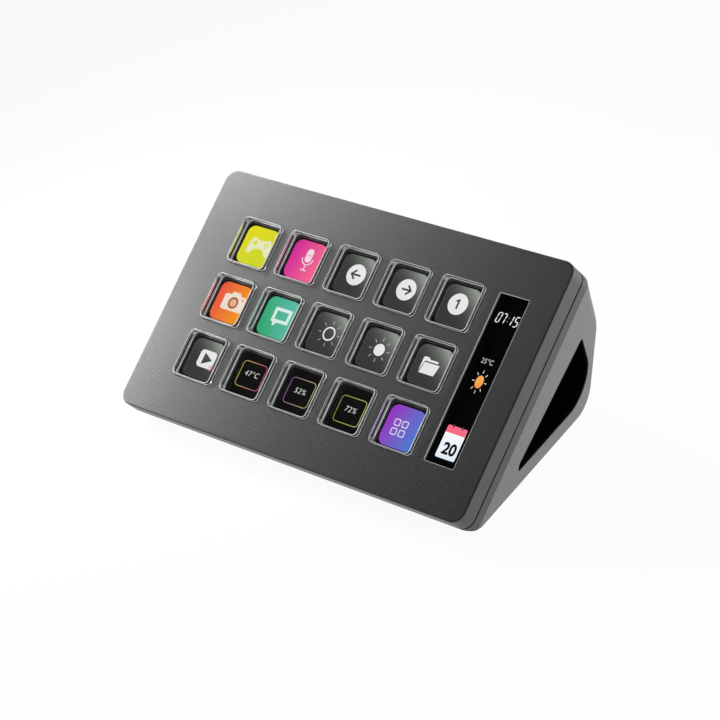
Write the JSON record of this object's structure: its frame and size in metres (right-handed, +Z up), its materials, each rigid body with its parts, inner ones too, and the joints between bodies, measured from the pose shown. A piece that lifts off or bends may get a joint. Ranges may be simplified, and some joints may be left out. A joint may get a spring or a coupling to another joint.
{
  "type": "macro keypad",
  "caption": "Wedge-shaped macro keypad with a grid of clear sprung display keys, a tall display strip beside them and an open cable tunnel through the stand.",
  "frame": {"origin": "centre of the footprint on the table, under the rubber feet", "axes": "+X to the right as seen from the front, +Y to the back, +Z up; the face leans back at 39 degrees"},
  "size_m": [0.1368, 0.0782, 0.0602],
  "materials": {
    "case_plastic": "fine moulded texture",
    "liner_plastic": "matte black",
    "key_clear": "polished clear acrylic",
    "guide_plastic": "matte black",
    "silicone": "satin grey",
    "board_black": "black solder mask",
    "flex_film": "amber film",
    "lens_clear": "clear",
    "display_glass": "black display glass",
    "backlight_metal": "plain sheet",
    "board_green": "green solder mask",
    "chip_black": "moulded",
    "can_metal": "bright",
    "passive_tan": "fired",
    "socket_plastic": "ivory",
    "socket_metal": "drawn shell",
    "screw_steel": "plated",
    "foot_rubber": "matte"
  },
  "bodies": {
    "case": {"front_shell": "case_plastic", "mid_frame": "case_plastic", "rear_shell": "case_plastic", "tunnel_liner": "liner_plastic", "key_guide": "guide_plastic", "key_membrane": "silicone", "contact_board": "board_black", "key_flex": "flex_film", "strip_lens": "lens_clear", "strip_spacer": "guide_plastic", "lcd_glass": "display_glass", "lcd_backlight": "backlight_metal", "lcd_flex": "flex_film", "main_board": "board_green", "processor_chip": "chip_black", "memory_chip": "chip_black", "clock_crystal": "can_metal", "board_passives": "passive_tan", "flex_sockets": "socket_plastic", "usb_socket": "socket_metal", "case_screws": "screw_steel", "board_screws": "screw_steel", "tunnel_screws": "screw_steel", "base_screws": "screw_steel", "front_foot": "foot_rubber", "rear_foot": "foot_rubber"},
    "key_row1_col1": {"keycap_row1_col1": "key_clear"},
    "key_row1_col2": {"keycap_row1_col2": "key_clear"},
    "key_row1_col3": {"keycap_row1_col3": "key_clear"},
    "key_row1_col4": {"keycap_row1_col4": "key_clear"},
    "key_row1_col5": {"keycap_row1_col5": "key_clear"},
    "key_row2_col1": {"keycap_row2_col1": "key_clear"},
    "key_row2_col2": {"keycap_row2_col2": "key_clear"},
    "key_row2_col3": {"keycap_row2_col3": "key_clear"},
    "key_row2_col4": {"keycap_row2_col4": "key_clear"},
    "key_row2_col5": {"keycap_row2_col5": "key_clear"},
    "key_row3_col1": {"keycap_row3_col1": "key_clear"},
    "key_row3_col2": {"keycap_row3_col2": "key_clear"},
    "key_row3_col3": {"keycap_row3_col3": "key_clear"},
    "key_row3_col4": {"keycap_row3_col4": "key_clear"},
    "key_row3_col5": {"keycap_row3_col5": "key_clear"}
  },
  "joints": [
    {"name": "key_press_row1_col1", "type": "slide", "parent": "case", "child": "key_row1_col1", "axis": [0, 0.6293, -0.7771], "range_m": [0, 0.0012], "stiffness_N_per_m": 400, "springref_m": -0.0007, "deforming": ["key_membrane"]},
    {"name": "key_press_row1_col2", "type": "slide", "parent": "case", "child": "key_row1_col2", "axis": [0, 0.6293, -0.7771], "range_m": [0, 0.0012], "stiffness_N_per_m": 400, "springref_m": -0.0007, "deforming": ["key_membrane"]},
    {"name": "key_press_row1_col3", "type": "slide", "parent": "case", "child": "key_row1_col3", "axis": [0, 0.6293, -0.7771], "range_m": [0, 0.0012], "stiffness_N_per_m": 400, "springref_m": -0.0007, "deforming": ["key_membrane"]},
    {"name": "key_press_row1_col4", "type": "slide", "parent": "case", "child": "key_row1_col4", "axis": [0, 0.6293, -0.7771], "range_m": [0, 0.0012], "stiffness_N_per_m": 400, "springref_m": -0.0007, "deforming": ["key_membrane"]},
    {"name": "key_press_row1_col5", "type": "slide", "parent": "case", "child": "key_row1_col5", "axis": [0, 0.6293, -0.7771], "range_m": [0, 0.0012], "stiffness_N_per_m": 400, "springref_m": -0.0007, "deforming": ["key_membrane"]},
    {"name": "key_press_row2_col1", "type": "slide", "parent": "case", "child": "key_row2_col1", "axis": [0, 0.6293, -0.7771], "range_m": [0, 0.0012], "stiffness_N_per_m": 400, "springref_m": -0.0007, "deforming": ["key_membrane"]},
    {"name": "key_press_row2_col2", "type": "slide", "parent": "case", "child": "key_row2_col2", "axis": [0, 0.6293, -0.7771], "range_m": [0, 0.0012], "stiffness_N_per_m": 400, "springref_m": -0.0007, "deforming": ["key_membrane"]},
    {"name": "key_press_row2_col3", "type": "slide", "parent": "case", "child": "key_row2_col3", "axis": [0, 0.6293, -0.7771], "range_m": [0, 0.0012], "stiffness_N_per_m": 400, "springref_m": -0.0007, "deforming": ["key_membrane"]},
    {"name": "key_press_row2_col4", "type": "slide", "parent": "case", "child": "key_row2_col4", "axis": [0, 0.6293, -0.7771], "range_m": [0, 0.0012], "stiffness_N_per_m": 400, "springref_m": -0.0007, "deforming": ["key_membrane"]},
    {"name": "key_press_row2_col5", "type": "slide", "parent": "case", "child": "key_row2_col5", "axis": [0, 0.6293, -0.7771], "range_m": [0, 0.0012], "stiffness_N_per_m": 400, "springref_m": -0.0007, "deforming": ["key_membrane"]},
    {"name": "key_press_row3_col1", "type": "slide", "parent": "case", "child": "key_row3_col1", "axis": [0, 0.6293, -0.7771], "range_m": [0, 0.0012], "stiffness_N_per_m": 400, "springref_m": -0.0007, "deforming": ["key_membrane"]},
    {"name": "key_press_row3_col2", "type": "slide", "parent": "case", "child": "key_row3_col2", "axis": [0, 0.6293, -0.7771], "range_m": [0, 0.0012], "stiffness_N_per_m": 400, "springref_m": -0.0007, "deforming": ["key_membrane"]},
    {"name": "key_press_row3_col3", "type": "slide", "parent": "case", "child": "key_row3_col3", "axis": [0, 0.6293, -0.7771], "range_m": [0, 0.0012], "stiffness_N_per_m": 400, "springref_m": -0.0007, "deforming": ["key_membrane"]},
    {"name": "key_press_row3_col4", "type": "slide", "parent": "case", "child": "key_row3_col4", "axis": [0, 0.6293, -0.7771], "range_m": [0, 0.0012], "stiffness_N_per_m": 400, "springref_m": -0.0007, "deforming": ["key_membrane"]},
    {"name": "key_press_row3_col5", "type": "slide", "parent": "case", "child": "key_row3_col5", "axis": [0, 0.6293, -0.7771], "range_m": [0, 0.0012], "stiffness_N_per_m": 400, "springref_m": -0.0007, "deforming": ["key_membrane"]}
  ]
}
